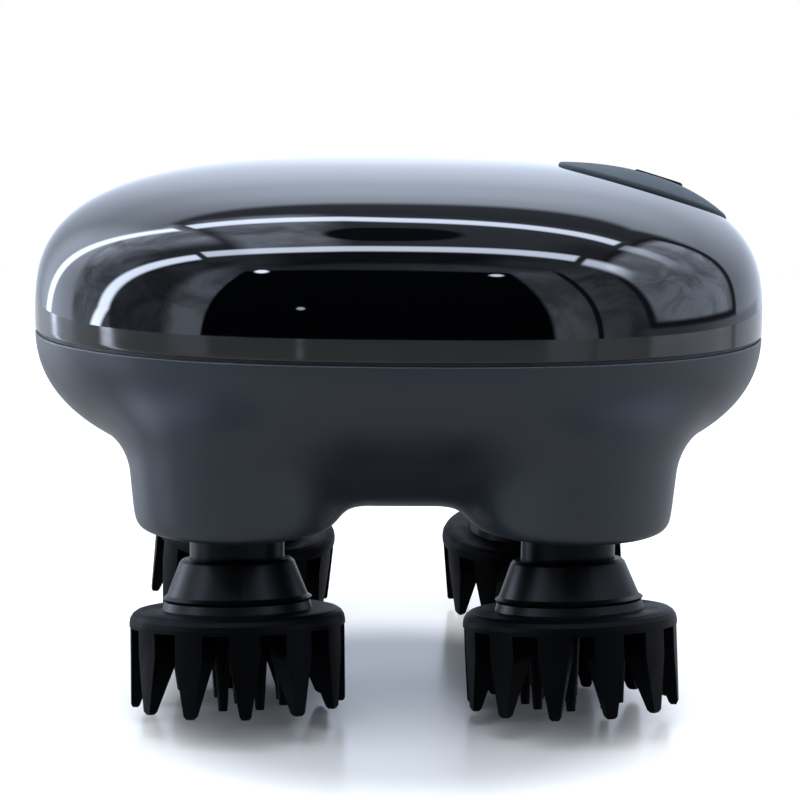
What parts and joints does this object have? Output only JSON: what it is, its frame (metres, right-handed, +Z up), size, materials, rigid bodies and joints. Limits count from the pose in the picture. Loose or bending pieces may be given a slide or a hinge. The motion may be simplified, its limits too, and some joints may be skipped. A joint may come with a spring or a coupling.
{
  "type": "electric scalp massager",
  "caption": "Hand-held cordless scalp massager: pebble-shaped housing on four short legs, each leg driving a tilted round pad of soft fingers that turns and kneads.",
  "frame": {"origin": "on the table under the centre of the housing, level with the lowest fingertip", "axes": "+Z up out of the crown, +X along the width towards the control panel, +Y to the rear, where the charging contacts are"},
  "size_m": [0.121, 0.101, 0.0865],
  "materials": {
    "cover_gloss": "polished piano black",
    "housing_matte": "fine satin texture",
    "gasket_rubber": "matte",
    "panel_matte": "soft dull inlay",
    "button_gloss": "smooth gloss",
    "switch_plastic": "matte",
    "circuit_board": "solder mask",
    "chassis_plastic": "satin",
    "motor_steel": "plated can",
    "gearbox_steel": "satin",
    "ground_steel": "ground",
    "gear_plastic": "moulded acetal",
    "cell_wrap": "shrink sleeve over the can",
    "cradle_plastic": "satin",
    "seat_plastic": "satin",
    "gold_contact": "gold plated",
    "magnet_nickel": "nickel plated",
    "screw_steel": "zinc plated",
    "bush_bronze": "sintered bronze",
    "hub_plastic": "satin",
    "pad_silicone": "soft silicone"
  },
  "bodies": {
    "housing": {"top_cover": "cover_gloss", "lower_housing": "housing_matte", "seam_gasket": "gasket_rubber", "control_panel": "panel_matte", "tact_switch": "switch_plastic", "button_board": "circuit_board", "gear_chassis": "chassis_plastic", "drive_motor": "motor_steel", "motor_gearbox": "gearbox_steel", "battery_cell": "cell_wrap", "battery_cradle": "cradle_plastic", "control_board": "circuit_board", "charge_seat": "seat_plastic", "charge_contacts": "gold_contact", "charge_magnets": "magnet_nickel", "case_screws": "screw_steel", "chassis_screws": "screw_steel", "motor_screws": "screw_steel", "front_left_bush": "bush_bronze", "front_left_seal": "gasket_rubber", "front_right_bush": "bush_bronze", "front_right_seal": "gasket_rubber", "rear_left_bush": "bush_bronze", "rear_left_seal": "gasket_rubber", "rear_right_bush": "bush_bronze", "rear_right_seal": "gasket_rubber"},
    "drive": {"central_gear": "gear_plastic", "output_shaft": "ground_steel"},
    "button": {"power_button": "button_gloss"},
    "front_left_head": {"front_left_gear": "gear_plastic", "front_left_spindle": "ground_steel", "front_left_collar": "hub_plastic", "front_left_core": "hub_plastic", "front_left_pad": "pad_silicone"},
    "front_right_head": {"front_right_gear": "gear_plastic", "front_right_spindle": "ground_steel", "front_right_collar": "hub_plastic", "front_right_core": "hub_plastic", "front_right_pad": "pad_silicone"},
    "rear_left_head": {"rear_left_gear": "gear_plastic", "rear_left_spindle": "ground_steel", "rear_left_collar": "hub_plastic", "rear_left_core": "hub_plastic", "rear_left_pad": "pad_silicone"},
    "rear_right_head": {"rear_right_gear": "gear_plastic", "rear_right_spindle": "ground_steel", "rear_right_collar": "hub_plastic", "rear_right_core": "hub_plastic", "rear_right_pad": "pad_silicone"}
  },
  "joints": [
    {"name": "drive_spin", "type": "hinge", "parent": "housing", "child": "drive", "pos_m": [0, 0, 0.0417], "axis": [0, 0, 1], "continuous": true},
    {"name": "front_left_spin", "type": "hinge", "parent": "housing", "child": "front_left_head", "pos_m": [-0.0261, -0.03, 0.0252], "axis": [0, 0, 1], "continuous": true},
    {"name": "front_right_spin", "type": "hinge", "parent": "housing", "child": "front_right_head", "pos_m": [0.0261, -0.03, 0.0252], "axis": [0, 0, 1], "continuous": true},
    {"name": "rear_left_spin", "type": "hinge", "parent": "housing", "child": "rear_left_head", "pos_m": [-0.0261, 0.03, 0.0252], "axis": [0, 0, 1], "continuous": true},
    {"name": "rear_right_spin", "type": "hinge", "parent": "housing", "child": "rear_right_head", "pos_m": [0.0261, 0.03, 0.0252], "axis": [0, 0, 1], "continuous": true},
    {"name": "button_press", "type": "slide", "parent": "housing", "child": "button", "axis": [-0.2871, 0, -0.9579], "range_m": [0, 0.0007], "stiffness_N_per_m": 2500}
  ],
  "couplings": [
    {"joint": "front_left_spin", "follows": "drive_spin", "ratio": -3},
    {"joint": "front_right_spin", "follows": "drive_spin", "ratio": -3},
    {"joint": "rear_left_spin", "follows": "drive_spin", "ratio": -3},
    {"joint": "rear_right_spin", "follows": "drive_spin", "ratio": -3}
  ]
}
